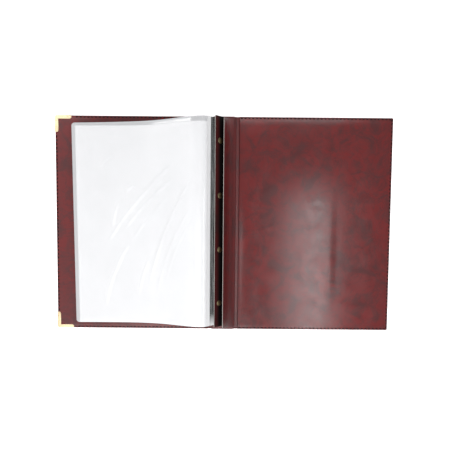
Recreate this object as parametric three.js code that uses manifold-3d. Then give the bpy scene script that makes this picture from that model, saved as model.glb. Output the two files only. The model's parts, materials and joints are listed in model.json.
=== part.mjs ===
// A coin and sheet album with screw posts, lying open and flat on a table.
// Millimetres. +X runs from the front cover to the back cover, +Y towards the album's head, +Z up.
// The origin is on the table under the middle of the spine.

import * as THREE from 'three';
import { mergeVertices } from 'three/addons/utils/BufferGeometryUtils.js';
import Module from 'manifold-3d';

const wasm = await Module();
wasm.setup();

// The case: three boards wrapped in one leatherette skin.
const CASE_HEIGHT = 328;
const CASE_HALF_WIDTH = 258.5;
const PANEL_INNER_X = 24;
const SPINE_BOARD_HALF = 16;
const FOLD_X = 20;
const FOLD_SLIT = 0.4;
const SKIN_T = 0.9;
const BOARD_T = 1.9;
const LINING_T = 0.6;
const RIM = 1.2;
const CASE_CORNER_R = 2;

// The metal corners of the front cover.
const CORNER_LEG = 26;
const CORNER_LIP = 5.8;
const CORNER_T = 0.5;
const CORNER_TIP_CUT = 3;

// The bound block: two strips, the leaves' stubs and four posts.
// It is drawn standing upright, as it does in the closed album, and leans back in the open one.
const LEAVES = 7;
const BLOCK_T = 19;
const BLOCK_BASE_Z = 3.9;
const BLOCK_LEAN = 50;
const BLOCK_PIVOT = { x: -13.2, z: 4.6 };
const BLOCK_SHIFT_Y = 2;
const STRIP_WIDTH = 18;
const STRIP_T = 1.2;
const STRIP_LENGTH = 311;
const STUB_GAP = 0.3;
const STUB_LENGTH = 305;
const NECK_T = 0.6;
const NECK_LENGTH = 4.3;

// The leaves: two clear films welded round a paper sheet.
const FOLD_ABOVE_STRIP = 7;
const LEAF_SLOPE = 5.6;
const LEAF_WIDTH = 208;
const LEAF_HEIGHT = 305;
const LEAF_CORNER_R = 4.5;
const LEAF_ROOT = 0.5;
const FILM_T = 0.25;
const LEAF_T = 1.15;
const PAPER_T = 0.15;
const PAPER_WIDTH = 200;
const PAPER_HEIGHT = 297;
const PAPER_MARGIN_X = 4.5;
const PAPER_ABOVE_FOOT = 2;

// The screw posts.
const POST_COUNT = 4;
const POST_PITCH = 80;
const POST_R = 2.5;
const POST_BORE_R = 1.8;
const POST_BORE_DEPTH = 9.5;
const POST_SHORT_OF_FACE = 0.3;
const HOLE_R = 2.8;
const HEAD_R = 4.5;
const HEAD_T = 1.5;
const SHANK_R = 1.5;
const SHANK_LENGTH = 8;
const SLOT_WIDTH = 1.2;
const SLOT_DEPTH = 0.7;
const ROUND_STEPS = 24;

// The flexible sheets that join the block to the two covers.
const FLAP_T = 0.6;
const FLAP_WIDTH = 4.4;
const HINGE_LENGTH = 317;
const BACK_WEB = { from: { x: 2.6, z: 21.2 }, to: { x: 22.6, z: 4.4 } };
const FRONT_WEB = { x0: -23.5, x1: -11.5, z: 3.7 };

const PANEL_T = SKIN_T + BOARD_T + LINING_T;
const SHEET_TOP = SKIN_T + BOARD_T;
const HALF_Y = CASE_HEIGHT / 2;
const BLOCK_HALF_T = BLOCK_T / 2;
const BLOCK_TOP_Z = BLOCK_BASE_Z + STRIP_WIDTH;
const POST_Z = BLOCK_BASE_Z + STRIP_WIDTH / 2;
const LEAF_FOLD_Z = BLOCK_TOP_Z + FOLD_ABOVE_STRIP;
const STUB_PITCH = (BLOCK_T - 2 * STRIP_T) / LEAVES;
const STUB_T = STUB_PITCH - STUB_GAP;

const finish = (colour, roughness, metalness = 0, opacity = 1) => {
  const transparent = opacity < 1;
  return new THREE.MeshStandardMaterial({ color: colour, roughness, metalness, opacity, transparent });
};

const LEATHERETTE = finish(0x6e2d32, 0.5);
const LINING = finish(0x7a3036, 0.35);
const GREYBOARD = finish(0x8c8578, 0.9);
const PALE_GOLD = finish(0xe8d4a4, 0.25, 1);
const BRASS = finish(0xb59a5c, 0.3, 1);
const FILM = finish(0xe6e8ee, 0.15, 0, 0.35);
const STUB = finish(0xd8dade, 0.4);
const PAPER = finish(0xf6f6f8, 0.8);

const radians = THREE.MathUtils.degToRad;

function toManifold(geometry) {
  const bare = geometry.clone();
  bare.deleteAttribute('normal');
  bare.deleteAttribute('uv');
  const merged = mergeVertices(bare, 1e-4);
  return new wasm.Manifold(new wasm.Mesh({
    numProp: 3,
    vertProperties: new Float32Array(merged.attributes.position.array),
    triVerts: new Uint32Array(merged.index.array),
  }));
}

function toGeometry(manifold) {
  const mesh = manifold.getMesh();
  const geometry = new THREE.BufferGeometry();
  geometry.setAttribute('position', new THREE.BufferAttribute(mesh.vertProperties, 3));
  geometry.setIndex(new THREE.BufferAttribute(mesh.triVerts, 1));
  geometry.computeVertexNormals();
  return geometry;
}

function block(x0, x1, y0, y1, z0, z1) {
  const geometry = new THREE.BoxGeometry(x1 - x0, y1 - y0, z1 - z0);
  return geometry.translate((x0 + x1) / 2, (y0 + y1) / 2, (z0 + z1) / 2);
}

function piece(name, geometry, material) {
  const mesh = new THREE.Mesh(geometry, material);
  mesh.name = name;
  return mesh;
}

// A rectangle whose two corners at x1 are rounded, extruded upwards from z0 to z1.
function roundedSheet(x0, x1, y0, y1, z0, z1, radius) {
  const out = Math.sign(x1 - x0);
  const shape = new THREE.Shape();
  shape.moveTo(x0, y0);
  shape.lineTo(x1 - out * radius, y0);
  shape.quadraticCurveTo(x1, y0, x1, y0 + radius);
  shape.lineTo(x1, y1 - radius);
  shape.quadraticCurveTo(x1, y1, x1 - out * radius, y1);
  shape.lineTo(x0, y1);
  shape.closePath();
  const geometry = new THREE.ExtrudeGeometry(shape, { depth: z1 - z0, bevelEnabled: false, curveSegments: 4 });
  return geometry.translate(0, 0, z0);
}

// ---- The case ----

// The area of one metal corner on the front cover, seen from above. side is +1 at the head, -1 at the foot.
function cornerOutline(side) {
  const edgeX = -CASE_HALF_WIDTH;
  const edgeY = HALF_Y + CORNER_T;
  const far = CORNER_LEG - CORNER_LIP / 2;
  const shape = new THREE.Shape();
  shape.moveTo(edgeX, edgeY - CORNER_TIP_CUT);
  shape.lineTo(edgeX, edgeY - far);
  shape.absarc(edgeX + CORNER_LIP / 2, edgeY - far, CORNER_LIP / 2, Math.PI, 2 * Math.PI, false);
  shape.lineTo(edgeX + CORNER_LIP, edgeY - CORNER_LIP);
  shape.lineTo(edgeX + far, edgeY - CORNER_LIP);
  shape.absarc(edgeX + far, edgeY - CORNER_LIP / 2, CORNER_LIP / 2, -Math.PI / 2, Math.PI / 2, false);
  shape.lineTo(edgeX + CORNER_TIP_CUT, edgeY);
  shape.closePath();
  const points = shape.extractPoints(6).shape.map((p) => new THREE.Vector2(p.x, side * p.y));
  return new THREE.Shape(points);
}

function cornerBlock(side, z0, z1) {
  const geometry = new THREE.ExtrudeGeometry(cornerOutline(side), { depth: z1 - z0, bevelEnabled: false });
  return toManifold(geometry.translate(0, 0, z0));
}

function frontPanelEdge() {
  return -(CASE_HALF_WIDTH - CORNER_T);
}

function metalCorner(name, side) {
  const around = cornerBlock(side, 0, PANEL_T + CORNER_T);
  const edge = frontPanelEdge();
  const cover = toManifold(block(edge, 0, -HALF_Y, HALF_Y, CORNER_T, PANEL_T));
  return piece(name, toGeometry(around.subtract(cover)), PALE_GOLD);
}

// The skin of one cover: a shallow tray that holds the board, with half of the fold beside it.
function coverSkin(name, outerX, notches) {
  const side = Math.sign(outerX);
  const foldX = side * (FOLD_X + FOLD_SLIT);
  const innerX = side * PANEL_INNER_X;
  const boardX = [innerX + side * RIM, outerX - side * RIM].sort((a, b) => a - b);
  const floor = roundedSheet(foldX, outerX, -HALF_Y, HALF_Y, 0, SKIN_T, CASE_CORNER_R);
  const rim = roundedSheet(innerX, outerX, -HALF_Y, HALF_Y, 0, SHEET_TOP, CASE_CORNER_R);
  const well = block(...boardX, -HALF_Y + RIM, HALF_Y - RIM, SKIN_T, SHEET_TOP + 1);
  let skin = toManifold(floor).add(toManifold(rim)).subtract(toManifold(well));
  for (const notch of notches) {
    skin = skin.subtract(notch);
  }
  return piece(name, toGeometry(skin), LEATHERETTE);
}

function coverBoard(name, outerX) {
  const side = Math.sign(outerX);
  const boardX = [side * (PANEL_INNER_X + RIM), outerX - side * RIM].sort((a, b) => a - b);
  return piece(name, block(...boardX, -HALF_Y + RIM, HALF_Y - RIM, SKIN_T, SHEET_TOP), GREYBOARD);
}

function coverLining(name, outerX) {
  const innerX = Math.sign(outerX) * PANEL_INNER_X;
  const sheet = roundedSheet(innerX, outerX, -HALF_Y, HALF_Y, SHEET_TOP, PANEL_T, CASE_CORNER_R);
  return piece(name, sheet, LINING);
}

function spineSkin() {
  const reach = FOLD_X - FOLD_SLIT;
  const wall = SPINE_BOARD_HALF + RIM;
  const floor = toManifold(block(-reach, reach, -HALF_Y, HALF_Y, 0, SKIN_T));
  const rim = toManifold(block(-wall, wall, -HALF_Y, HALF_Y, 0, SHEET_TOP));
  const half = SPINE_BOARD_HALF;
  const well = toManifold(block(-half, half, -HALF_Y + RIM, HALF_Y - RIM, SKIN_T, SHEET_TOP + 1));
  return piece('spine_skin', toGeometry(floor.add(rim).subtract(well)), LEATHERETTE);
}

function buildCase() {
  const group = new THREE.Group();
  const frontEdge = frontPanelEdge();
  const notches = [1, -1].map((side) => cornerBlock(side, -1, CORNER_T));
  const half = SPINE_BOARD_HALF;
  group.add(
    coverSkin('front_skin', frontEdge, notches),
    coverBoard('front_board', frontEdge),
    coverLining('front_lining', frontEdge),
    metalCorner('front_corner_head', 1),
    metalCorner('front_corner_foot', -1),
    spineSkin(),
    piece('spine_board', block(-half, half, -HALF_Y + RIM, HALF_Y - RIM, SKIN_T, SHEET_TOP), GREYBOARD),
    piece('spine_lining', block(-half, half, -HALF_Y, HALF_Y, SHEET_TOP, PANEL_T), LINING),
    coverSkin('back_skin', CASE_HALF_WIDTH, []),
    coverBoard('back_board', CASE_HALF_WIDTH),
    coverLining('back_lining', CASE_HALF_WIDTH),
  );
  return group;
}

// ---- The bound block, drawn upright ----

function postY(index) {
  return BLOCK_SHIFT_Y + (index - (POST_COUNT - 1) / 2) * POST_PITCH;
}

// Turns a shape that was made round the Z axis so that it lies along X, at one post.
function alongPost(geometry, index) {
  return geometry.rotateY(Math.PI / 2).translate(0, postY(index), POST_Z);
}

function pierced(geometry) {
  let solid = toManifold(geometry);
  for (let i = 0; i < POST_COUNT; i += 1) {
    const drill = new THREE.CylinderGeometry(HOLE_R, HOLE_R, 2 * BLOCK_T, ROUND_STEPS).rotateX(Math.PI / 2);
    solid = solid.subtract(toManifold(alongPost(drill, i)));
  }
  return toGeometry(solid);
}

function strip(name, x0) {
  const half = STRIP_LENGTH / 2;
  const y0 = BLOCK_SHIFT_Y - half;
  const sheet = block(x0, x0 + STRIP_T, y0, y0 + STRIP_LENGTH, BLOCK_BASE_Z, BLOCK_TOP_Z);
  return piece(name, pierced(sheet), LEATHERETTE);
}

function leafX(leaf) {
  return BLOCK_HALF_T - STRIP_T - STUB_PITCH * (leaf - 0.5);
}

// A leaf's stub: the thick punched edge, and the start of the thin neck that the leaf folds at.
function stub(leaf) {
  const x = leafX(leaf);
  const shape = new THREE.Shape([
    new THREE.Vector2(x - STUB_T / 2, BLOCK_BASE_Z),
    new THREE.Vector2(x + STUB_T / 2, BLOCK_BASE_Z),
    new THREE.Vector2(x + STUB_T / 2, BLOCK_TOP_Z),
    new THREE.Vector2(x + NECK_T / 2, BLOCK_TOP_Z),
    new THREE.Vector2(x + NECK_T / 2, BLOCK_TOP_Z + NECK_LENGTH),
    new THREE.Vector2(x - NECK_T / 2, BLOCK_TOP_Z + NECK_LENGTH),
    new THREE.Vector2(x - NECK_T / 2, BLOCK_TOP_Z),
    new THREE.Vector2(x - STUB_T / 2, BLOCK_TOP_Z),
  ]);
  const geometry = new THREE.ExtrudeGeometry(shape, { depth: STUB_LENGTH, bevelEnabled: false });
  geometry.rotateX(Math.PI / 2).translate(0, BLOCK_SHIFT_Y + STUB_LENGTH / 2, 0);
  return piece(`leaf_${leaf}_stub`, pierced(geometry), STUB);
}

// A post: its head outside the front strip, and a barrel with a blind bore that opens at the back strip.
function post(index) {
  const head = -BLOCK_HALF_T - HEAD_T;
  const mouth = BLOCK_HALF_T - POST_SHORT_OF_FACE;
  const profile = [
    new THREE.Vector2(0, head),
    new THREE.Vector2(HEAD_R, head),
    new THREE.Vector2(HEAD_R, -BLOCK_HALF_T),
    new THREE.Vector2(POST_R, -BLOCK_HALF_T),
    new THREE.Vector2(POST_R, mouth),
    new THREE.Vector2(POST_BORE_R, mouth),
    new THREE.Vector2(POST_BORE_R, mouth - POST_BORE_DEPTH),
    new THREE.Vector2(0, mouth - POST_BORE_DEPTH),
  ];
  const turned = new THREE.LatheGeometry(profile, ROUND_STEPS).rotateX(Math.PI / 2);
  return piece(`post_${index + 1}`, toGeometry(toManifold(alongPost(turned, index))), BRASS);
}

// A screw: a slotted round head outside the back strip, and a shank down the post's bore.
function screw(index) {
  const face = BLOCK_HALF_T;
  const crown = face + HEAD_T;
  const profile = [
    new THREE.Vector2(0, face - SHANK_LENGTH),
    new THREE.Vector2(SHANK_R, face - SHANK_LENGTH),
    new THREE.Vector2(SHANK_R, face),
    new THREE.Vector2(HEAD_R, face),
    new THREE.Vector2(HEAD_R, face + HEAD_T / 2),
    new THREE.Vector2(HEAD_R * 0.8, face + HEAD_T * 0.9),
    new THREE.Vector2(0, crown),
  ];
  const turned = new THREE.LatheGeometry(profile, ROUND_STEPS).rotateX(Math.PI / 2);
  const slot = block(-SLOT_WIDTH / 2, SLOT_WIDTH / 2, -HEAD_R - 1, HEAD_R + 1, crown - SLOT_DEPTH, crown + 1);
  const solid = toManifold(alongPost(turned, index)).subtract(toManifold(alongPost(slot, index)));
  return piece(`screw_${index + 1}`, toGeometry(solid), BRASS);
}

// The end of a hinge sheet that is welded to the outside of a strip, along the block's base.
function hingeFlap(name, x0) {
  const y0 = -HINGE_LENGTH / 2;
  const sheet = block(x0, x0 + FLAP_T, y0, y0 + HINGE_LENGTH, BLOCK_BASE_Z, BLOCK_BASE_Z + FLAP_WIDTH);
  return piece(name, sheet, LINING);
}

// One leaf, lying along -X from its fold at the origin.
function leafPlates(leaf) {
  const group = new THREE.Group();
  const y0 = BLOCK_SHIFT_Y - LEAF_HEIGHT / 2;
  const y1 = y0 + LEAF_HEIGHT;
  const half = LEAF_T / 2;
  const film = (z0) => roundedSheet(-LEAF_ROOT, -LEAF_WIDTH, y0, y1, z0, z0 + FILM_T, LEAF_CORNER_R);
  const paperX = -LEAF_WIDTH + PAPER_MARGIN_X;
  const paperY = y0 + PAPER_ABOVE_FOOT;
  const paper = block(paperX, paperX + PAPER_WIDTH, paperY, paperY + PAPER_HEIGHT, -PAPER_T / 2, PAPER_T / 2);
  group.add(
    piece(`leaf_${leaf}_upper_film`, film(half - FILM_T), FILM),
    piece(`leaf_${leaf}_paper`, paper, PAPER),
    piece(`leaf_${leaf}_lower_film`, film(-half), FILM),
  );
  group.position.set(leafX(leaf), 0, LEAF_FOLD_Z);
  group.rotation.y = radians(BLOCK_LEAN - LEAF_SLOPE);
  return group;
}

function buildBlock() {
  const upright = new THREE.Group();
  upright.add(
    strip('back_strip', BLOCK_HALF_T - STRIP_T),
    strip('front_strip', -BLOCK_HALF_T),
    hingeFlap('back_hinge_flap', BLOCK_HALF_T),
    hingeFlap('front_hinge_flap', -BLOCK_HALF_T - FLAP_T),
  );
  for (let i = 0; i < POST_COUNT; i += 1) {
    upright.add(post(i), screw(i));
  }
  for (let leaf = 1; leaf <= LEAVES; leaf += 1) {
    upright.add(stub(leaf), leafPlates(leaf));
  }
  upright.position.set(-BLOCK_PIVOT.x, 0, -BLOCK_PIVOT.z);
  const leaning = new THREE.Group();
  leaning.add(upright);
  leaning.position.set(BLOCK_PIVOT.x, 0, BLOCK_PIVOT.z);
  leaning.rotation.y = -radians(BLOCK_LEAN);
  return leaning;
}

// ---- The hinge sheets between the block and the covers, as they lie in the open album ----

function backWeb() {
  const dx = BACK_WEB.to.x - BACK_WEB.from.x;
  const dz = BACK_WEB.to.z - BACK_WEB.from.z;
  const mesh = piece('back_hinge_web', new THREE.BoxGeometry(Math.hypot(dx, dz), HINGE_LENGTH, FLAP_T), LINING);
  mesh.position.set(BACK_WEB.from.x + dx / 2, 0, BACK_WEB.from.z + dz / 2);
  mesh.rotation.y = -Math.atan2(dz, dx);
  return mesh;
}

function frontWeb() {
  const half = HINGE_LENGTH / 2;
  const sheet = block(FRONT_WEB.x0, FRONT_WEB.x1, -half, half, FRONT_WEB.z, FRONT_WEB.z + FLAP_T);
  return piece('front_hinge_web', sheet, LINING);
}

const album = new THREE.Group();
album.add(buildCase(), buildBlock(), backWeb(), frontWeb());

export default album;
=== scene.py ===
"""The looks of an open coin and sheet album with screw posts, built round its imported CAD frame.

Lengths are in millimetres until a mesh is made. +X runs from the front cover to the back cover,
+Y towards the album's head and +Z up. Sheets run from -X to +X, so that their upper side is outwards.
"""

import json
import math

import bpy
import numpy as np
from mathutils import Matrix, Vector, noise


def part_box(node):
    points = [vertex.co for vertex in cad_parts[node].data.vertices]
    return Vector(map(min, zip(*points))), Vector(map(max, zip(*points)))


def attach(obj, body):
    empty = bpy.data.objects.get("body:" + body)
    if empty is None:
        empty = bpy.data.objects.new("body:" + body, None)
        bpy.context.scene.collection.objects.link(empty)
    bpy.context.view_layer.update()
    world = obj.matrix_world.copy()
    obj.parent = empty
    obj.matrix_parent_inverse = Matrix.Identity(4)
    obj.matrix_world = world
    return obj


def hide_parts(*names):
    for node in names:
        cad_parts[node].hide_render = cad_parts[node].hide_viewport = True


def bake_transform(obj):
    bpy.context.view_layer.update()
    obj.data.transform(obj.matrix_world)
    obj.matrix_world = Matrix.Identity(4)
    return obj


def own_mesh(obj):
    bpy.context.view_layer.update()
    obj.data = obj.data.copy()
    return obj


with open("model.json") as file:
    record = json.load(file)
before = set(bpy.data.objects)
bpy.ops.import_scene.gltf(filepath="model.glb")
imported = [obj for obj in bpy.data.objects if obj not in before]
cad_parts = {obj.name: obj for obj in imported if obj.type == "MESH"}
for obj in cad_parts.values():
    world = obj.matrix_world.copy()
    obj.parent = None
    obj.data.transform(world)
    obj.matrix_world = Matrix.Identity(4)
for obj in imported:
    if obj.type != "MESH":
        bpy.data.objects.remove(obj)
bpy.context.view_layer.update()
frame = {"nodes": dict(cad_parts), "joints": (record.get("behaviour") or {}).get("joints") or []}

MM = 0.001


def lowest(node):
    return np.array(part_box(node)[0]) / MM


def highest(node):
    return np.array(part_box(node)[1]) / MM


JOINTS = {joint["name"]: joint for joint in frame["joints"]}


def joint_place(name):
    """The x and z of a joint's axis, which runs along Y."""
    x, _, z = JOINTS[name]["pos_m"]
    return np.array([x, z]) / MM


# The case, from the frame.
FRONT_EDGE = lowest("front_skin")[0]
BACK_EDGE = highest("back_skin")[0]
HALF_HEIGHT = highest("front_skin")[1]
SKIN_T = lowest("front_board")[2]
BOARD_TOP = highest("front_board")[2]
PANEL_TOP = highest("front_lining")[2]
PANEL_INNER = -highest("front_lining")[0]
FOLD_X = joint_place("back_cover_fold")[0]

# The bound block. It leans, and its outer face looks along FACING.
LEAVES = 7
POSTS = 4
SCREW_AXIS = np.array(JOINTS["screw_1_turn"]["axis"])
FACING = SCREW_AXIS[[0, 2]]
UP_STRIP = np.array([-FACING[1], FACING[0]])
SCREW_SEAT = joint_place("screw_1_turn")
STRIP_WIDTH = 18.0
STRIP_T = 1.2
BLOCK_T = 19.0
STUB_PITCH = (BLOCK_T - 2 * STRIP_T) / LEAVES
STUB_T = STUB_PITCH - 0.3

# The leaves. MILKY gives the two distances from the fore-edge between which the film turns milky.
# A page isn't quite square: PAGE_SKEW slants its fore-edge, and PAGE_ENDS moves that edge's foot and
# head along Y, as PAPER_ENDS does for the paper.
TOP_FOLD = joint_place("leaf_1_turn")
FORE_EDGE = lowest("leaf_1_upper_film")[0]
LEAF_SPAN = (lowest("leaf_1_upper_film")[1], highest("leaf_1_upper_film")[1])
PAPER_SPAN = (lowest("leaf_1_paper")[1], highest("leaf_1_paper")[1])
WELD_MARGIN = 4.5
PAPER_FROM_FOLD = 3.5
FILM_T = 0.12
FILM_GAP = 0.3
PAPER_T = 0.12
PAGE_SKEW = 2.2
MILKY = (207.5, 210.0)
PAGE_ENDS = (-1.3, -5.0)
PAPER_ENDS = (-1.0, -1.0)
PAPER_DROP = 2.0

# The hinge sheets. HINGE_TAPER is how far the free edge is drawn in at each end.
HINGE_SPAN = (lowest("back_hinge_web")[1], highest("back_hinge_web")[1])
HINGE_T = 0.9
HINGE_TAPER = 3.6

# The metal corners: an arm's length and width, the sheet's thickness and the size of the cut tip.
CORNER_LEG = 26.0
CORNER_LIP = 5.8
CORNER_T = 0.5
CORNER_TIP = 3.0

# The camera, above the middle of the open album.
CAMERA_PLACE = (4.6, -4.5, 580.0)
CAMERA_TILT = -2.93
CAMERA_ROLL = 0.5
CAMERA_LENS = 29.65
CAMERA_SHIFT_Y = 0.0448


# ---- Shapes ----

def smooth(x):
    """0 below 0, 1 above 1 and an even rise between."""
    x = np.clip(x, 0, 1)
    return x * x * (3 - 2 * x)


def bump(x):
    """1 at 0, falling to nothing at -1 and 1."""
    return 1 - smooth(np.abs(x))


def round_edge(distance, radius):
    """How far a rounded edge falls away, at this distance from the outline."""
    inside = np.clip(1 - distance / radius, 0, 1)
    return radius * (1 - np.sqrt(1 - inside * inside))


EDGE_STEPS = (0, 0.12, 0.35, 0.8, 1.5, 3)


def steps(start, stop, step, edge=EDGE_STEPS):
    """Values from start to stop, closer together at both ends."""
    near = np.array([e for e in edge if e < (stop - start) / 2])
    count = max(1, int(round((stop - start - 2 * near[-1]) / step)))
    middle = np.linspace(start + near[-1], stop - near[-1], count + 1)
    return np.unique(np.concatenate([start + near, middle, stop - near]))


def curve(points, step):
    """A smooth path through a few points, in even steps."""
    points = np.array(points, float)
    ends = [2 * points[0] - points[1], *points, 2 * points[-1] - points[-2]]
    fine = []
    for a, b, c, d in zip(ends, ends[1:], ends[2:], ends[3:]):
        for t in np.linspace(0, 1, 24, endpoint=False):
            fine.append(0.5 * (2 * b + (c - a) * t + (2 * a - 5 * b + 4 * c - d) * t * t
                               + (3 * b - a - 3 * c + d) * t ** 3))
    fine = np.array([*fine, points[-1]])
    along = lengths(fine)
    wanted = steps(0, along[-1], step)
    return np.stack([np.interp(wanted, along, fine[:, i]) for i in range(2)], 1)


def lengths(path):
    """How far along a path each of its points is."""
    return np.concatenate([[0], np.cumsum(np.linalg.norm(np.diff(path, axis=0), axis=1))])


def grid_normals(grid):
    """The direction a sheet's upper side looks in, at each point of its grid."""
    across = np.cross(np.gradient(grid, axis=0), np.gradient(grid, axis=1))
    return across / np.linalg.norm(across, axis=2, keepdims=True)


def grid_faces(rows, cols, start):
    """The faces of a closed sheet: its upper grid, its lower grid and the rim between them."""
    index = np.arange(rows * cols).reshape(rows, cols) + start
    upper = np.stack([index[:-1, :-1], index[1:, :-1], index[1:, 1:], index[:-1, 1:]], -1).reshape(-1, 4)
    lower = upper[:, ::-1] + rows * cols
    ring = np.concatenate([index[:-1, 0], index[-1, :-1], index[:0:-1, -1], index[0, :0:-1]])
    after = np.roll(ring, -1)
    rim = np.stack([ring, ring + rows * cols, after + rows * cols, after], -1)
    return upper, lower, rim


def make_mesh(name, sheets, material, edge_material=None):
    """One object of closed sheets. Each is an upper grid and a lower grid of points.
    Its UV map is in metres along and across each sheet, so that textures have their real size."""
    points, faces, edges, places = [], [], [], []
    start = 0
    for upper, lower in sheets:
        rows, cols = upper.shape[:2]
        along = lengths(upper[:, cols // 2])
        across = lengths(upper[rows // 2])
        flat = np.stack(np.meshgrid(along, across, indexing="ij"), -1).reshape(-1, 2)
        points += [upper.reshape(-1, 3), lower.reshape(-1, 3)]
        places += [flat, flat]
        top, bottom, rim = grid_faces(rows, cols, start)
        faces += [top, bottom, rim]
        edges += [np.zeros(len(top) + len(bottom), int), np.ones(len(rim), int)]
        start += 2 * rows * cols
    return new_object(name, np.concatenate(points), np.concatenate(faces), np.concatenate(places),
                      [material, edge_material or material], np.concatenate(edges))


def link_object(name, data):
    """A new object with this data, in the scene."""
    made = bpy.data.objects.new(name, data)
    bpy.context.scene.collection.objects.link(made)
    return made


def new_object(name, points, faces, places, materials, slots):
    """An object from points and faces. places has each point's UV, and slots each face's material."""
    mesh = bpy.data.meshes.new(name)
    mesh.from_pydata((points * MM).tolist(), [], faces.tolist())
    for material in materials:
        mesh.materials.append(material)
    mesh.polygons.foreach_set("material_index", slots.astype(np.int32))
    layer = mesh.uv_layers.new(name="metres")
    corners = np.zeros(len(mesh.loops), np.int32)
    mesh.loops.foreach_get("vertex_index", corners)
    layer.data.foreach_set("uv", (places[corners] * MM).astype(np.float32).ravel())
    mesh.shade_smooth()
    mesh.set_sharp_from_angle(angle=math.radians(50))
    mesh.update()
    return link_object(name, mesh)


THIN_EDGE = 0.02


def thinned(s, y, thickness, soft):
    """Half the thickness of a sheet whose edges thin out over the distance soft."""
    distance = np.minimum(np.minimum(s, s[-1:] - s), np.minimum(y - y[:, :1], y[:, -1:] - y))
    return thickness / 2 - round_edge(distance, soft) * (thickness / 2 - THIN_EDGE) / soft


def slant(grid, s, span, skew, ends):
    """Move a sheet's points, more and more towards the path's first end. skew slants that end,
    and ends moves its first and last y."""
    middle = sum(span) / 2
    y = grid[:, :, 1].copy()
    nearness = 1 - s / s[-1:]
    grid[:, :, 0] -= skew * nearness * (y - middle) / (span[1] - middle)
    share = (y - span[0]) / (span[1] - span[0])
    grid[:, :, 1] += (ends[0] * (1 - share) + ends[1] * share) * nearness


def sheet_grids(path, span, thickness, lift=None, corner=0.0, step=8.0, soft=None, skew=0.0, ends=(0.0, 0.0)):
    """A sheet that follows a path in x and z, from span's first y to its second.
    lift(s, y) raises it where s is the distance along the path. corner rounds the path's first end,
    soft is explained in thinned, and skew and ends in slant."""
    along = lengths(path)
    ys = steps(*span, step)
    middle = sum(span) / 2
    shrink = round_edge(along, corner) if corner else np.zeros(len(along))
    scale = 1 - shrink / (span[1] - middle)
    grid = np.zeros((len(path), len(ys), 3))
    grid[:, :, 0] = path[:, :1]
    grid[:, :, 1] = middle + (ys[None, :] - middle) * scale[:, None]
    grid[:, :, 2] = path[:, 1:]
    out = grid_normals(grid)
    s = np.repeat(along[:, None], len(ys), 1)
    y = grid[:, :, 1].copy()
    rise = lift(s, y) if lift else np.zeros(s.shape)
    half = thinned(s, y, thickness, soft) if soft else np.full(s.shape, thickness / 2)
    slant(grid, s, span, skew, ends)
    centre = grid + out * rise[..., None]
    return centre + out * half[..., None], centre - out * half[..., None]


def slow_noise(s, y, size, seed):
    """Soft random hills between about -1 and 1, of this size."""
    flat = [noise.noise(Vector((a / size, b / size, seed))) for a, b in zip(s.ravel(), y.ravel())]
    return np.array(flat).reshape(s.shape)


# ---- Materials ----

def new_material(name, **settings):
    """A Principled material with these socket values, its node tree and its shader."""
    made = bpy.data.materials.new(name)
    made.use_nodes = True
    shader = made.node_tree.nodes["Principled BSDF"]
    for socket, value in settings.items():
        shader.inputs[socket.replace("_", " ")].default_value = value
    return made, made.node_tree, shader


NODE_SETTINGS = ("data_type", "uv_map", "feature")


def add(tree, kind, **settings):
    """A new node with these settings and socket values."""
    node = tree.nodes.new(kind)
    for key, value in settings.items():
        if key in NODE_SETTINGS:
            setattr(node, key, value)
        else:
            node.inputs[key.replace("_", " ")].default_value = value
    return node


def ramp(tree, source, stops):
    """A colour ramp of (place, colour) stops."""
    node = tree.nodes.new("ShaderNodeValToRGB")
    tree.links.new(source, node.inputs["Fac"])
    elements = node.color_ramp.elements
    while len(elements) < len(stops):
        elements.new(0.5)
    for element, (place, colour) in zip(elements, stops):
        element.position = place
        element.color = (*colour, 1)
    return node.outputs["Color"]


def metres(tree):
    """Places on a sheet in metres, along it and across it."""
    return add(tree, "ShaderNodeUVMap", uv_map="metres").outputs["UV"]


def texture(tree, where, scale, detail, distortion=0.0, roughness=0.5):
    """Cloudy noise, with scale clouds to a metre."""
    node = add(tree, "ShaderNodeTexNoise", Scale=scale, Detail=detail, Distortion=distortion,
               Roughness=roughness)
    tree.links.new(where, node.inputs["Vector"])
    return node.outputs["Fac"]


# The Mix node's colour sockets by number, since its other sockets have the same names.
MIX_FACTOR, MIX_A, MIX_B = 0, 6, 7
MIX_COLOUR = 2


def mix(tree, factor, a, b):
    """A blend from a to b by factor. factor and a are sockets, and b is a colour."""
    node = add(tree, "ShaderNodeMix", data_type="RGBA")
    tree.links.new(factor, node.inputs[MIX_FACTOR])
    tree.links.new(a, node.inputs[MIX_A])
    node.inputs[MIX_B].default_value = (*b, 1)
    return node.outputs[MIX_COLOUR]


def grey(value):
    return (value, value, value)


def emboss(tree, shader, height, depth):
    """Bumps of this depth in millimetres."""
    node = add(tree, "ShaderNodeBump", Strength=1.0, Distance=depth * MM)
    tree.links.new(height, node.inputs["Height"])
    tree.links.new(node.outputs["Normal"], shader.inputs["Normal"])


LEATHER_RED = (0.110, 0.0115, 0.0122)
LEATHER_DARK = (0.058, 0.0135, 0.0145)
LEATHER_BRIGHT = (0.140, 0.0080, 0.0085)
# A near-black colour of painted shade, for the deep gutter beside the screws.
DEEP_SHADE = (0.0012, 0.0005, 0.0005)
PEBBLES_PER_METRE = 1100


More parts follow.
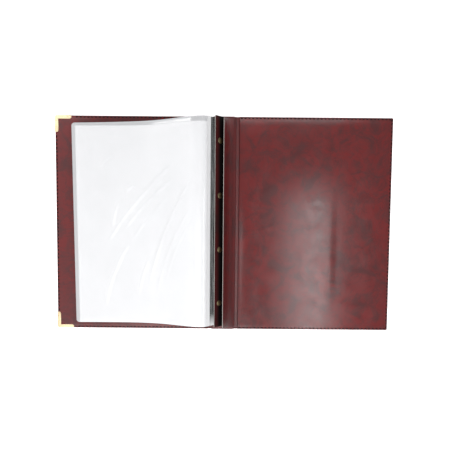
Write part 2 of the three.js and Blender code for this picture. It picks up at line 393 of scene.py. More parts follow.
def leatherette(name, gloss, grain, darker=1.0, shine=0.5, painted_shade_span=None):
    """Red plastic leather: cloudy dark marbling with crisp edges, and a pebble grain of this depth.
    darker scales its colours. The last argument gives the two distances along the sheet, in millimetres,
    between which its colour turns nearly black: painted shade where the sheet runs into a shaded gutter."""
    made, tree, shader = new_material(name, Roughness=gloss, Specular_IOR_Level=shine)
    where = metres(tree)
    cloud = texture(tree, where, scale=36, detail=10, distortion=0.9, roughness=0.66)
    drift = texture(tree, where, scale=9, detail=3, distortion=0.4)
    veins = texture(tree, where, scale=20, detail=8, distortion=2.6, roughness=0.62)
    red, dark, bright = (tuple(darker * part for part in colour)
                         for colour in (LEATHER_RED, LEATHER_DARK, LEATHER_BRIGHT))
    base = ramp(tree, drift, [(0.35, red), (0.72, bright)])
    marble = ramp(tree, cloud, [(0.38, grey(0.8)), (0.44, grey(0.5)), (0.56, grey(0.0))])
    vein = ramp(tree, veins, [(0.47, grey(0.0)), (0.495, grey(0.6)), (0.515, grey(0.0))])
    colour = mix(tree, vein, mix(tree, marble, base, dark), dark)
    # Painted shade: the colour turns nearly black across the sheet, between the two given distances.
    if painted_shade_span:
        along = add(tree, "ShaderNodeSeparateXYZ")
        tree.links.new(where, along.inputs["Vector"])
        fade = add(tree, "ShaderNodeMapRange", From_Min=painted_shade_span[0] * MM, From_Max=painted_shade_span[1] * MM)
        tree.links.new(along.outputs["X"], fade.inputs["Value"])
        colour = mix(tree, fade.outputs["Result"], colour, DEEP_SHADE)
    tree.links.new(colour, shader.inputs["Base Color"])
    pebble = add(tree, "ShaderNodeTexVoronoi", feature="SMOOTH_F1", Scale=PEBBLES_PER_METRE)
    tree.links.new(where, pebble.inputs["Vector"])
    emboss(tree, shader, pebble.outputs["Distance"], grain)
    worn = texture(tree, where, scale=60, detail=4)
    tree.links.new(ramp(tree, worn, [(0.3, grey(gloss * 0.85)), (0.7, grey(gloss * 1.2))]),
                   shader.inputs["Roughness"])
    return made


def cut_edge():
    """The pale woven back of the leatherette, where it is cut."""
    made, tree, shader = new_material("cut_edge", Roughness=0.8)
    fibre = texture(tree, metres(tree), scale=700, detail=3)
    tree.links.new(ramp(tree, fibre, [(0.3, (0.24, 0.225, 0.21)), (0.7, (0.42, 0.40, 0.375))]),
                   shader.inputs["Base Color"])
    emboss(tree, shader, fibre, 0.08)
    return made


FILM_SHINE = 0.8
MILKY_ALPHA = 0.85


def clear_film(name, haze_alpha, dull, bright):
    """Soft clear film. What is behind it shows, and its surface is glossy with slight haze.
    The weld beside the fold is milky."""
    made, tree, shader = new_material(name, Roughness=0.15, Specular_IOR_Level=FILM_SHINE)
    along = add(tree, "ShaderNodeSeparateXYZ")
    tree.links.new(metres(tree), along.inputs["Vector"])
    weld = add(tree, "ShaderNodeMapRange", From_Min=MILKY[0] * MM, From_Max=MILKY[1] * MM,
               To_Min=haze_alpha, To_Max=MILKY_ALPHA)
    tree.links.new(along.outputs["X"], weld.inputs["Value"])
    tree.links.new(weld.outputs["Result"], shader.inputs["Alpha"])
    haze = texture(tree, metres(tree), scale=18, detail=3)
    tree.links.new(ramp(tree, haze, [(0.3, dull), (0.7, bright)]), shader.inputs["Base Color"])
    emboss(tree, shader, texture(tree, metres(tree), scale=90, detail=3), 0.05)
    return made


FOOT_GREY = 18.0
FOOT_WHITE = 3.0


def shaded_neck_film():
    """The film of the necks and stubs, which turns white at the foot. Its dark grey streaks are painted
    shade, where the necks lie close together in the gutter.
    """
    made, tree, shader = new_material("neck_film_painted_shade", Alpha=0.62, Roughness=0.25, Specular_IOR_Level=0.6)
    streak = add(tree, "ShaderNodeMapping")
    streak.inputs["Scale"].default_value = (1, 0.06, 1)
    tree.links.new(metres(tree), streak.inputs["Vector"])
    lines = texture(tree, streak.outputs["Vector"], scale=420, detail=3)
    # Painted shade: dark grey streaks for the shadow between the necks.
    painted_shade_streaks = ramp(tree, lines, [(0.36, (0.03, 0.031, 0.030)), (0.64, (0.24, 0.25, 0.25))])
    place = add(tree, "ShaderNodeSeparateXYZ")
    tree.links.new(metres(tree), place.inputs["Vector"])
    foot = add(tree, "ShaderNodeMapRange", From_Min=FOOT_GREY * MM, From_Max=FOOT_WHITE * MM)
    tree.links.new(place.outputs["Y"], foot.inputs["Value"])
    tree.links.new(mix(tree, foot.outputs["Result"], painted_shade_streaks, (0.75, 0.75, 0.76)),
                   shader.inputs["Base Color"])
    return made


def white_paper():
    """Plain white paper with faint fibres."""
    made, tree, shader = new_material("paper", Roughness=0.85)
    fibre = texture(tree, metres(tree), scale=260, detail=4)
    tree.links.new(ramp(tree, fibre, [(0.3, (0.86, 0.86, 0.87)), (0.7, (0.88, 0.88, 0.885))]),
                   shader.inputs["Base Color"])
    emboss(tree, shader, fibre, 0.02)
    return made


def metal(name, bright, dull, rough):
    """A plated metal with faint tarnish and fine scratches."""
    made, tree, shader = new_material(name, Metallic=1.0, Roughness=rough)
    where = metres(tree)
    stain = texture(tree, where, scale=130, detail=5)
    tree.links.new(ramp(tree, stain, [(0.3, dull), (0.62, bright)]), shader.inputs["Base Color"])
    wear = texture(tree, where, scale=300, detail=4)
    tree.links.new(ramp(tree, wear, [(0.3, grey(rough * 0.8)), (0.7, grey(rough * 1.3))]),
                   shader.inputs["Roughness"])
    emboss(tree, shader, texture(tree, where, scale=900, detail=2), 0.01)
    return made


def plain_board():
    """Grey binder's board, for CAD meshes without a UV map."""
    made, tree, shader = new_material("greyboard_fibre", Roughness=0.9)
    where = add(tree, "ShaderNodeTexCoord").outputs["Object"]
    fibre = texture(tree, where, scale=500, detail=4)
    tree.links.new(ramp(tree, fibre, [(0.3, (0.2, 0.18, 0.15)), (0.7, (0.3, 0.27, 0.23))]),
                   shader.inputs["Base Color"])
    emboss(tree, shader, fibre, 0.1)
    return made


def thread():
    """Very dark red sewing thread."""
    made, tree, shader = new_material("thread", Roughness=0.8, Specular_IOR_Level=0.15)
    twist = texture(tree, metres(tree), scale=1500, detail=2)
    tree.links.new(ramp(tree, twist, [(0.3, (0.006, 0.002, 0.003)), (0.7, (0.018, 0.004, 0.005))]),
                   shader.inputs["Base Color"])
    return made


def on_object(name, colours, scale, depth, **settings):
    """A two-tone material placed by the object's own coordinates, for a CAD mesh without a UV map."""
    made, tree, shader = new_material(name, **settings)
    where = add(tree, "ShaderNodeTexCoord").outputs["Object"]
    cloud = texture(tree, where, scale, detail=6, distortion=0.8)
    tree.links.new(ramp(tree, cloud, [(0.42, colours[0]), (0.56, colours[1])]), shader.inputs["Base Color"])
    emboss(tree, shader, texture(tree, where, scale * 30, detail=2), depth)
    return made


LINING = leatherette("lining_leatherette", gloss=0.22, grain=0.025)
SKIN = leatherette("skin_leatherette", gloss=0.42, grain=0.09)
HINGE = leatherette("hinge_leatherette", gloss=0.34, grain=0.2, darker=0.85)
# The binder strip is darkened to 0.4 and turns nearly black 3 to 9 mm across it: painted shade of the gutter
# beside the screws.
STRIP = leatherette("strip_leatherette_painted_shade", gloss=0.6, grain=0.09, darker=0.4, shine=0.12, painted_shade_span=(3.0, 9.0))
CUT_EDGE = cut_edge()
FILM = clear_film("clear_film", 0.27, (0.46, 0.465, 0.485), (0.52, 0.525, 0.54))
TOP_FILM = clear_film("creased_film", 0.33, (0.80, 0.805, 0.82), (0.83, 0.835, 0.85))
NECK = shaded_neck_film()
PAPER = white_paper()
GOLD = metal("pale_gold_plate", (0.82, 0.67, 0.43), (0.68, 0.53, 0.33), 0.3)
# The screw heads' brass is darkened to about a fifth of plain brass: painted shade of the gutter they sit in.
SCREW_BRASS_PAINTED_SHADE = metal("brass", (0.20, 0.155, 0.085), (0.09, 0.068, 0.04), 0.4)
BOARD = plain_board()
THREAD = thread()
SPINE_LINING = on_object("spine_leatherette", (LEATHER_DARK, LEATHER_RED), 26, 0.06, Roughness=0.4)
POST_BRASS = on_object("post_brass", ((0.30, 0.22, 0.11), (0.52, 0.40, 0.20)), 90, 0.01,
                       Metallic=1.0, Roughness=0.34)


# ---- The case ----

# The skin's section: a rim round the panels, a low hem where it folds, and a groove outside.
# FOLD_BAND is the part near the fold, which has finer faces.
RIM_WIDTH = 1.2
HEM_X = 20.6
HEM_REACH = 4.2
HEM_TOP = 1.7
RIM_DROP = 0.1
GROOVE_DEPTH = 0.3
LEAST_SKIN = 0.1
FOLD_BAND = (15, 26)
RIM_STEPS = (0, 0.12, 0.35, 0.7, 1.1, 1.2, 1.23, 1.6, 4)


def cover_width(side):
    """From the album's middle to a cover's outer edge. side is -1 for the front and 1 for the back."""
    return BACK_EDGE if side > 0 else -FRONT_EDGE


def skin_height(x, distance):
    """The upper side of a skin: a tray with a raised rim, and a low hem in the fold."""
    folds = bump((x - HEM_X) / HEM_REACH)
    rim = PANEL_TOP - RIM_DROP - (PANEL_TOP - HEM_TOP) * smooth(folds * 1.6)
    radius = np.minimum(1.5, rim * 0.45)
    return np.where(distance < RIM_WIDTH + 0.01, rim - round_edge(distance, radius), SKIN_T)


def skin_half(name, side):
    """Half of the outer skin: one cover, its fold and half of the spine."""
    width = cover_width(side)
    spine = np.linspace(0, FOLD_BAND[0], 8)
    panel = np.linspace(FOLD_BAND[1], width - RIM_STEPS[-1], 20)
    rim = width - np.array(RIM_STEPS)
    xs = np.unique(np.concatenate([spine, np.arange(*FOLD_BAND, 0.5), panel, rim]))
    depths = np.array([*RIM_STEPS, *np.linspace(12, HALF_HEIGHT, 14)])
    edge = width - xs
    half = HALF_HEIGHT - round_edge(edge, 2.0)
    y = np.concatenate([-(half[:, None] - depths), (half[:, None] - depths[-2::-1])], 1)
    deep = np.concatenate([depths, depths[-2::-1]])
    x = np.repeat(xs[:, None], len(deep), 1)
    distance = np.minimum(edge[:, None], deep[None, :])
    radius = np.where(np.abs(x - HEM_X) < 4, 0.7, 1.5)
    groove = GROOVE_DEPTH * bump((x - FOLD_X) / 3)
    top = skin_height(x, distance)
    bottom = np.minimum(round_edge(distance, radius) + groove, top - LEAST_SKIN)
    upper = np.stack([side * x, y, top], -1)[::side]
    lower = np.stack([side * x, y, bottom], -1)[::side]
    made = make_mesh(name, [(upper, lower)], SKIN)
    return made


def build_skins():
    front = skin_half("front_skin_half", -1)
    back = skin_half("back_skin_half", 1)
    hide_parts("front_skin", "spine_skin")
    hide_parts("back_skin", "spine_skin")
    for made, side, cover in ((front, -1, "front_cover"), (back, 1, "back_cover")):
        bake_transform(made)


LINING_INSET = 1.25
LINING_STEPS = (0, 0.15, 0.45, 0.8, 1.1, 1.5, 1.9, 2.3, 3, 5, 8)
STITCH_INSET = 1.3
SEAM_DEPTH = 0.16
SEAM_REACH = 1.1


def seam(distance):
    """The dent that a row of stitches pulls into a cover."""
    return -SEAM_DEPTH * bump((distance - STITCH_INSET) / SEAM_REACH)


def edge_distance(s, y, length, half):
    """How far a place on a cover is from the nearest of its three outer edges."""
    return np.minimum(length - s, half - np.abs(y))


WAVE_RISE = 0.26
HILL_RISE = 0.12
STEP_RISE = 0.40
HUMP_RISE = 0.2
HEAD_RISE = 0.5


def back_waves(s, y, length):
    """The back cover's lining isn't quite flat: it has long soft waves, and slopes down at the head.
    s is the distance from the fold."""
    fade = smooth(edge_distance(s, y, length, HALF_HEIGHT) / 30)
    long_waves = 0.5 + 0.5 * np.sin(s / 17 + 0.7 * slow_noise(s, y, 90, 3.0) + y / 260)
    hills = slow_noise(s, y, 46, 9.0)
    step = STEP_RISE * (1 - smooth((s - 143) / 8)) * bump((y + 45) / 125)
    hump = HUMP_RISE * bump((s - 18) / 15) * smooth(s / 6)
    head = HEAD_RISE * smooth((HALF_HEIGHT - y) / 11)
    waves = WAVE_RISE * long_waves + HILL_RISE * (0.5 + 0.5 * hills) + step
    return fade * waves * smooth(s / 8) + hump + head


def cover_lining(name, side):
    """The leatherette inside a cover, with a dent along its stitches."""
    length = cover_width(side) - PANEL_INNER - LINING_INSET
    half = HALF_HEIGHT - LINING_INSET
    xs = steps(0, length, 4.0, LINING_STEPS)
    xs = (PANEL_INNER + xs) if side > 0 else -(PANEL_INNER + xs[::-1])
    path = np.stack([xs, np.full(len(xs), (BOARD_TOP + PANEL_TOP) / 2 + 0.02)], 1)

    def lift(s, y):
        from_fold = s if side > 0 else length - s
        swell = back_waves(from_fold, y, length) if side > 0 else 0.12 * (1 + slow_noise(s, y, 60, 5.0))
        return swell + seam(edge_distance(from_fold, y, length, half))

    thickness = PANEL_TOP - BOARD_TOP - 0.05
    grids = sheet_grids(path, (-half, half), thickness, lift, step=4.0, soft=0.5)
    made = make_mesh(name, [grids], LINING)
    return made


STITCH_LENGTH = 3.4
STITCH_PITCH = 5.8
STITCH_R = 0.9
STITCH_FLAT = 0.45
THREAD_SIDES = 6
THREAD_RINGS = ((-0.86, 0.6), (-0.45, 1.0), (0.45, 1.0), (0.86, 0.6))


def capsule_rings(centre, way):
    """The points of one stitch with their UVs: four rings, then its two tips."""
    across = np.cross(way, (0, 0, 1))
    points, flat = [], []
    for place, size in THREAD_RINGS:
        for angle in np.arange(THREAD_SIDES) * 2 * math.pi / THREAD_SIDES:
            out = across * math.cos(angle) + np.array((0, 0, STITCH_FLAT)) * math.sin(angle)
            points.append(centre + way * place * STITCH_LENGTH / 2 + out * size * STITCH_R)
            flat.append((place * STITCH_LENGTH / 2, angle * STITCH_R))
    points += [centre - way * STITCH_LENGTH / 2, centre + way * STITCH_LENGTH / 2]
    flat += [(-STITCH_LENGTH / 2, 0), (STITCH_LENGTH / 2, 0)]
    return points, flat


def capsule_faces(start):
    """The faces of one stitch whose points begin at start."""
    bands = len(THREAD_RINGS) - 1
    last_ring = start + bands * THREAD_SIDES
    first_tip = last_ring + THREAD_SIDES
    faces = []
    for i in range(THREAD_SIDES):
        j = (i + 1) % THREAD_SIDES
        for ring in range(bands):
            a = start + ring * THREAD_SIDES
            b = a + THREAD_SIDES
            faces.append((a + i, a + j, b + j, b + i))
        faces.append((first_tip, start + j, start + i))
        faces.append((first_tip + 1, last_ring + i, last_ring + j))
    return faces


def capsules(name, places, directions):
    """A row of short threads, each a small closed spindle that lies along its direction."""
    points, faces, flat = [], [], []
    for centre, way in zip(places, directions):
        faces += capsule_faces(len(points))
        stitch, stitch_flat = capsule_rings(centre, way)
        points += stitch
        flat += stitch_flat
    mesh = bpy.data.meshes.new(name)
    mesh.from_pydata((np.array(points) * MM).tolist(), [], faces)
    mesh.materials.append(THREAD)
    layer = mesh.uv_layers.new(name="metres")
    for loop in mesh.loops:
        layer.data[loop.index].uv = np.array(flat[loop.vertex_index]) * MM
    mesh.shade_smooth()
    return link_object(name, mesh)


def cover_stitches(name, side):
    """Stitches just inside a cover's three outer edges, clear of the metal corners. Those of the back
    cover stand higher, as its lining does, except at the head."""
    outer = cover_width(side) - STITCH_INSET - LINING_INSET
    top = HALF_HEIGHT - STITCH_INSET - LINING_INSET
    inner = PANEL_INNER + 3
    clear = CORNER_LEG if side < 0 else 2.0
    head = 0.25
    foot = 0.55 if side > 0 else head
    places, directions = [], []
    for x in np.arange(inner, cover_width(side) - clear - 2, STITCH_PITCH):
        for y, rise in ((-top, foot), (top, head)):
            places.append((side * x, y, PANEL_TOP + rise))
            directions.append((1, 0, 0))
    for y in np.arange(-HALF_HEIGHT + clear + 3, HALF_HEIGHT - clear - 2, STITCH_PITCH):
        places.append((side * outer, y, PANEL_TOP + foot))
        directions.append((0, 1, 0))
    made = capsules(name, np.array(places), np.array(directions, float))
    return made


def build_covers():
    for name, side in (("front", -1), ("back", 1)):
        lining = cover_lining(f"{name}_cover_lining", side)
        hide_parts(f"{name}_lining")
        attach(lining, f"{name}_cover")
        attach(cover_stitches(f"{name}_cover_stitches", side), f"{name}_cover")


CORNER_TURN = 1.3
CORNER_WALL = 0.04
MITRE_GAP = 0.12


def corner_section():
    """A corner's arm cut across: (distance in, z) over the cover's edge, from the top to underneath."""
    top = PANEL_TOP + CORNER_T
    flat_end = CORNER_TURN - CORNER_T
    upper = [(d, top) for d in np.linspace(CORNER_LIP - CORNER_T, flat_end, 8)]
    shoulder = [(flat_end - CORNER_TURN * math.sin(a), top - CORNER_TURN + CORNER_TURN * math.cos(a))
                for a in np.linspace(0.3, math.pi / 2, 5)]
    half = upper + shoulder
    return np.array(half + [(d, top - z) for d, z in reversed(half)])


def corner_arm():
    """One arm of a metal corner: an outer and an inner grid of (distance in, distance along, z).
    The arm wraps round the cover's edge, starts at the mitre and ends in a half circle."""
    section = corner_section()
    inward = np.gradient(section, axis=0)
    inward = np.stack([-inward[:, 1], inward[:, 0]], 1) / np.linalg.norm(inward, axis=1)[:, None]
    end_radius = CORNER_LIP / 2
    middle = end_radius - CORNER_T
    shapes = []
    for line in (section, section + inward * (CORNER_T - CORNER_WALL)):
        rows = []
        for (d, z), (own, _) in zip(line, section):
            start = max(own + MITRE_GAP, CORNER_TIP - 2 * CORNER_T - own)
            swing = math.sqrt(max(0.0, end_radius ** 2 - (own - middle) ** 2))
            stop = CORNER_LEG - end_radius - CORNER_T + swing
            rows.append([(d, v, z) for v in np.linspace(start, stop, 14)])
        shapes.append(np.array(rows))
    return shapes


def metal_corner(name, side):
    """A corner at the front cover's head (side 1) or foot (side -1): two arms that meet in a mitre."""
    outer, inner = corner_arm()
    sheets = []
    for swap in (False, True):
        pair = []
        for grid in (outer, inner):
            d, v, z = grid[..., 0], grid[..., 1], grid[..., 2]
            x, y = (v, d) if swap else (d, v)
            pair.append(np.stack([FRONT_EDGE + x, side * (HALF_HEIGHT - y), z], -1))
        turned = swap == (side > 0)
        sheets.append(tuple(grid[:, ::-1] if turned else grid for grid in pair))
    made = make_mesh(name, sheets, GOLD)
    return made


def build_metal_corners():
    for end, side in (("head", 1), ("foot", -1)):
        made = metal_corner(f"metal_corner_{end}", side)
        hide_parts(f"front_corner_{end}")
        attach(made, "front_cover")


# ---- The bound block ----

def in_block(depth, height):
    """A point of the leaning block: depth below the back strip's face, height above the screws."""
    return SCREW_SEAT - depth * FACING + height * UP_STRIP


def block_sheet(depth, thickness, span, soft=None):
    """A sheet of the block, as wide as its strips, at this depth below the back strip's face."""
    half = STRIP_WIDTH / 2
    path = np.array([in_block(depth, -down) for down in steps(-half, half, 2.5)])
    return sheet_grids(path, span, thickness, step=20.0, soft=soft)


def build_strips():
    for name, depth in (("back_strip", STRIP_T / 2), ("front_strip", BLOCK_T - STRIP_T / 2)):
        span = (lowest(name)[1], highest(name)[1])
        grids = block_sheet(depth, STRIP_T, span)
        made = make_mesh(f"{name}_leatherette", [grids], STRIP, CUT_EDGE)
        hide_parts(name)
        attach(made, "binder")


def leaf_depth(leaf):
    return STRIP_T + STUB_PITCH * (leaf - 0.5)


STUB_LAYERS = (-1, 0, 1)
STUB_LAYER_GAP = 0.05
STUB_SOFT = 0.3


def build_stubs():
    """Each stub is three layers of film."""
    layer = STUB_T / len(STUB_LAYERS)
    for leaf in range(1, LEAVES + 1):
        node = f"leaf_{leaf}_stub"
        span = (lowest(node)[1], highest(node)[1])
        sheets = [block_sheet(leaf_depth(leaf) + place * layer, layer - STUB_LAYER_GAP, span, STUB_SOFT)
                  for place in STUB_LAYERS]
        made = make_mesh(f"stub_{leaf}_layers", sheets, NECK)
        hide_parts(node)
        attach(made, "binder")


SCREW_R = 4.5
SCREW_RISE = 1.5
SCREW_RIM = 0.35
SLOT_HALF = 0.75
SLOT_DEPTH = 1.0
SLOT_ANGLES = (118, 62, 15, 74)


def dome(r):
    """The height of a screw's head at this distance from its middle, without the slot."""
    return SCREW_RIM + (SCREW_RISE - SCREW_RIM) * math.sqrt(max(0.0, 1 - (r / SCREW_R) ** 2.6))


def screw_head(name, place, angle):
    """A domed head with a slot, made round Z and then set on the strip's face."""
    walls = [side * SLOT_HALF + shift for side in (-1, 1) for shift in (-0.02, 0.02)]
    top, bottom = [], []
    for u in np.unique(np.concatenate([np.linspace(-SCREW_R, SCREW_R, 45), walls])):
        reach = math.sqrt(max(0.0, SCREW_R ** 2 - u ** 2))
        vs = [math.sin(turn * math.pi / 2) * reach for turn in np.linspace(-1, 1, 25)]
        slot = SLOT_DEPTH if abs(u) < SLOT_HALF else 0.0
        top.append([(u, v, dome(min(math.hypot(u, v), SCREW_R)) - slot) for v in vs])
        bottom.append([(u, v, 0.0) for v in vs])
    made = make_mesh(name, [(np.array(top), np.array(bottom))], SCREW_BRASS_PAINTED_SHADE)
    out = Vector(SCREW_AXIS)
    seat = Matrix.Translation(Vector(place) * MM) @ out.to_track_quat("Z", "Y").to_matrix().to_4x4()
    made.data.transform(seat @ Matrix.Rotation(math.radians(angle), 4, "Z"))
    return made


def build_screws():
    for index, angle in enumerate(SLOT_ANGLES, start=1):
        node = f"screw_{index}"
        y = (lowest(node)[1] + highest(node)[1]) / 2
        made = screw_head(f"screw_head_{index}", (SCREW_SEAT[0], y, SCREW_SEAT[1]), angle)
        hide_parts(node)
        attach(made, node)


# ---- The hinge sheets ----

def hinge_piece(name, points, taper=0.0):
    """A stretch of hinge sheet and its length. taper shortens its first end."""
    path = curve(points, 0.8)
    grids = sheet_grids(path, HINGE_SPAN, HINGE_T, step=6.0, ends=(taper, -taper))
    made = make_mesh(name, [grids], HINGE, CUT_EDGE)
    return made, lengths(path)[-1]


def bend(made):
    """Bake a piece's placement into its mesh."""
    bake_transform(made)


def build_hinge_sheets():
    """The back hinge stands from its cut edge over the screws down to its middle, and lies from there
    to a welt on the back cover. The front one lies in the front fold."""
    cut = in_block(-6.0, -1.8)
    middle = (13.2, 11.0)
    end = (highest("back_hinge_web")[0] + 0.3, PANEL_TOP + 1.2)
    welt = [(end[0] - x, end[1] + z) for x, z in ((4.5, 0.95), (3.1, 0.8), (1.3, 0.38))]
    standing = [cut, (2.0, 27.4), (3.7, 23.4), (5.9, 19.6), (8.8, 15.6), middle]
    laid = [middle, (15.6, 8.8), (18.2, 7.3), *welt, end]
    front_fold = [(-23.5, 4.05), (-19.5, 4.0), (-15.5, 4.3), (-11.6, 4.6)]
    upper, upper_length = hinge_piece("back_hinge_sheet_upper", standing, HINGE_TAPER)
    lower, lower_length = hinge_piece("back_hinge_sheet_lower", laid)
    front, front_length = hinge_piece("front_hinge_sheet", front_fold)
    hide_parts("back_hinge_flap", "back_hinge_web")
    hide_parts("back_hinge_web")
    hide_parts("front_hinge_web")
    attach(upper, "spine")
    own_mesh(upper)
    bend(lower)
    bend(front)


# ---- The leaves ----

FORE_EDGE_STAGGER = 0.35
FINE_STEP, COARSE_STEP = 2.0, 12.0
PAGE_CORNER = 4.5


def fold_place(leaf):
    return joint_place("leaf_1_turn" if leaf == 1 else f"leaf_{leaf}_fold")


def page_path(leaf):
    """A page from its fore-edge to its fold: flat on the stack, then up over a hump by the binding."""
    shift = fold_place(leaf) - TOP_FOLD
    points = [(FORE_EDGE, 15.2), (-190, 15.0), (-150, 15.9), (-125, 17.6), (-105, 20.5), (-85, 26.0),
              (-65, 33.4), (-46, 40.3), (-33, 42.6), (-25, 41.2), tuple(TOP_FOLD)]
    moved = [np.array(point) + shift for point in points]
    moved[0] = np.array([FORE_EDGE + FORE_EDGE_STAGGER * (leaf - 1), moved[0][1]])
    return curve(moved, 3.0 if leaf > 1 else 2.2)


# Creases of the top film: (start, end) as (distance from the fore-edge, y), half width and height.
CREASES = (
    ((42, -39), (161, 96), 1.7, 1.19),
    ((70, -15), (156, 69), 1.4, 1.00),
    ((84, -30), (150, 44), 1.3, 0.75),
    ((109, -108), (190, 77), 1.8, 1.25),
    ((125, -108), (187, 33), 1.5, 1.00),
    ((138, -95), (192, 20), 1.4, 0.75),
    ((96, -115), (119, -42), 1.4, 0.94),
    ((42, 84), (61, 103), 1.1, 0.88),
    ((44, -132), (76, -42), 1.6, 0.94),
    ((57, -8), (73, 46), 1.3, 0.81),
    ((78, 50), (96, 62), 1.3, 1.00),
    ((80, 58), (98, 55), 1.2, 0.81),
    ((60, -70), (84, -30), 1.4, 0.75),
)


def creases(s, y):
    """The raised creases of the top film."""
    rise = np.zeros(s.shape)
    for (s0, y0), (s1, y1), width, height in CREASES:
        way = np.array([s1 - s0, y1 - y0], float)
        length = np.linalg.norm(way)
        way /= length
        along = ((s - s0) * way[0] + (y - y0) * way[1]) / length
        bow = 0.05 * length * np.sin(np.clip(along, 0, 1) * math.pi)
        aside = (s - s0) * -way[1] + (y - y0) * way[0] - bow
        fade = smooth(along * 4) * smooth((1 - along) * 4)
        rise = np.maximum(rise, height * fade * np.exp(-(aside / width) ** 2))
    return rise


FILM_PRESSED = 0.09
FILM_SAG = 0.16


def film_rise(leaf, side, page_length):
    """How far a film stands off its page: pressed together in the welded margins, and loose between."""
    def rise(s, y):
        low, high = LEAF_SPAN
        margin = np.minimum(np.minimum(s, page_length - s + 3), np.minimum(y - low + 2.2, high - y))
        gap = FILM_PRESSED + (FILM_GAP - FILM_PRESSED) * smooth((margin - 3.6) / 2.0)
        if leaf > 1 or side < 0:
            return side * gap
        inside = smooth((margin - 5) / 8)
        return gap + inside * (creases(s, y) + FILM_SAG * (1 + slow_noise(s, y, 26, 2.0)))
    return rise


def flatten(made):
    """Give a page piece its own copy of its mesh."""
    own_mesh(made)


def page_piece(kind, leaf, grids, material):
    """One layer of a page, in place of the CAD node of that name."""
    made = make_mesh(f"page_{leaf}_{kind}", [grids], material)
    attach(made, f"leaf_{leaf}")
    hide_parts(f"leaf_{leaf}_{kind}")
    if leaf == 1:
        flatten(made)


def page_film(kind, side, leaf, path):
    creased = leaf == 1 and side > 0
    rise = film_rise(leaf, side, lengths(path)[-1])
    grids = sheet_grids(path, LEAF_SPAN, FILM_T, rise, corner=PAGE_CORNER, skew=PAGE_SKEW, ends=PAGE_ENDS,
                        step=FINE_STEP if creased else COARSE_STEP)
    page_piece(kind, leaf, grids, TOP_FILM if creased else FILM)


def page_paper(leaf, path):
    along = lengths(path)
    inside = path[(along > WELD_MARGIN) & (along < along[-1] - PAPER_FROM_FOLD)]
    span = [y - PAPER_DROP for y in PAPER_SPAN]
    grids = sheet_grids(inside, span, PAPER_T, step=COARSE_STEP, skew=PAGE_SKEW, ends=PAPER_ENDS)
    page_piece("paper", leaf, grids, PAPER)


def build_page(leaf):
    path = page_path(leaf)
    page_film("upper_film", 1, leaf, path)
    page_film("lower_film", -1, leaf, path)
    page_paper(leaf, path)


NECK_T = 0.5
NECK_GAP = 0.8


def build_neck(leaf):
    """The film between a leaf's stub and its fold. It ends just short of the fold, so that the page
    can turn over without touching it."""
    fold = fold_place(leaf)
    root = in_block(leaf_depth(leaf), STRIP_WIDTH / 2 - 1.0)
    upright = [fold - below * UP_STRIP for below in (NECK_GAP, 1.6, 3.2)]
    path = curve([*upright, root], 0.7)
    grids = sheet_grids(path, LEAF_SPAN, NECK_T, step=10.0)
    made = make_mesh(f"neck_{leaf}", [grids], NECK)
    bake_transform(made)


def build_leaves():
    for leaf in range(1, LEAVES + 1):
        build_page(leaf)
        build_neck(leaf)


# ---- CAD nodes that stay ----

def finish_cad_nodes():
    materials = {"front_board": BOARD, "back_board": BOARD, "spine_board": BOARD,
                 "spine_lining": SPINE_LINING, "front_hinge_flap": SPINE_LINING}
    materials |= {f"post_{i + 1}": POST_BRASS for i in range(POSTS)}
    for name, material in materials.items():
        for place in frame["nodes"][name].material_slots:
            place.material = material


# ---- Floor, light and camera ----

FLOOR_HALF = 15000.0
FLOOR_TOP = -0.05
FLOOR_T = 5


def build_floor():
    xs = np.linspace(-FLOOR_HALF, FLOOR_HALF, 3)
    grid = np.stack([*np.meshgrid(xs, xs, indexing="ij"), np.full((3, 3), FLOOR_TOP)], -1)
    made, _, shader = new_material("floor_white", Roughness=0.9)
    shader.inputs["Base Color"].default_value = (0.93, 0.93, 0.93, 1)
    shader.inputs["Emission Color"].default_value = (1, 1, 1, 1)
    shader.inputs["Emission Strength"].default_value = 0.6
    floor = make_mesh("floor", [(grid, grid - (0, 0, FLOOR_T))], made)


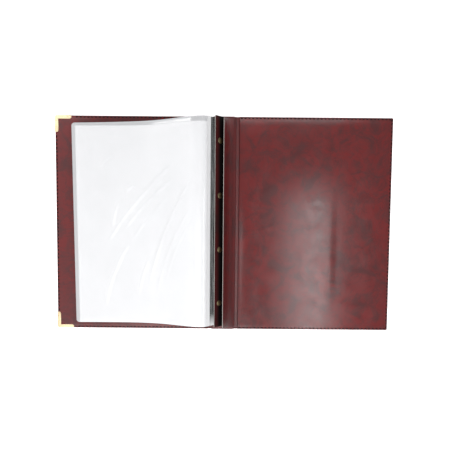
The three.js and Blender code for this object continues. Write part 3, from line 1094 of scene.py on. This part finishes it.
# Each softbox: its place, the point it faces, its size in X and in Y, and its power in watts.
SOFTBOXES = {
    "softbox_key": ((-400, -935, 1100), (0, 0, 0), (1200, 700), 13.0),
    "softbox_right": ((296, -190, 700), (138, -88, 0), (130, 640), 1.7),
    "softbox_head": ((200, 500, 700), (130, 160, 0), (500, 140), 0.6),
    "softbox_left": ((-200, -170, 700), (-90, -60, 0), (260, 400), 0.9),
    "softbox_side": ((-600, 0, 700), (-600, 0, 0), (220, 1100), 0.5),
    "softbox_glints": ((-770, 570, 700), (-100, 0, 0), (240, 120), 2.4),
}
WORLD_STRENGTH = 0.43


def softbox(name, place, aim, size, power):
    """A rectangular lamp that faces its aim, with its first side square to the album's Y."""
    data = bpy.data.lights.new(name, "AREA")
    data.shape = "RECTANGLE"
    data.size, data.size_y = (length * MM for length in size)
    data.energy = power
    lamp = link_object(name, data)
    back = (Vector(place) - Vector(aim)).normalized()
    along_x = Vector((0, 1, 0)).cross(back).normalized()
    lamp.matrix_world = Matrix((along_x, back.cross(along_x), back)).transposed().to_4x4()
    lamp.location = Vector(place) * MM


def build_light():
    world = bpy.data.worlds.new("studio")
    bpy.context.scene.world = world
    world.use_nodes = True
    background = world.node_tree.nodes["Background"]
    background.inputs["Color"].default_value = (1, 1, 1, 1)
    background.inputs["Strength"].default_value = WORLD_STRENGTH
    for name, (place, aim, size, power) in SOFTBOXES.items():
        softbox(name, place, aim, size, power)
    bpy.context.scene.view_settings.view_transform = "Standard"


def build_camera():
    data = bpy.data.cameras.new("camera")
    data.sensor_width = 36.0
    data.lens = CAMERA_LENS
    data.shift_y = CAMERA_SHIFT_Y
    camera = link_object("camera", data)
    tilt = Matrix.Rotation(math.radians(CAMERA_TILT), 4, "X")
    roll = Matrix.Rotation(math.radians(CAMERA_ROLL), 4, "Z")
    camera.matrix_world = Matrix.Translation(Vector(CAMERA_PLACE) * MM) @ tilt @ roll
    bpy.context.scene.camera = camera


build_camera()
build_skins()
build_covers()
build_metal_corners()
build_strips()
build_stubs()
build_screws()
build_hinge_sheets()
build_leaves()
finish_cad_nodes()
build_floor()
build_light()

bpy.context.view_layer.update()
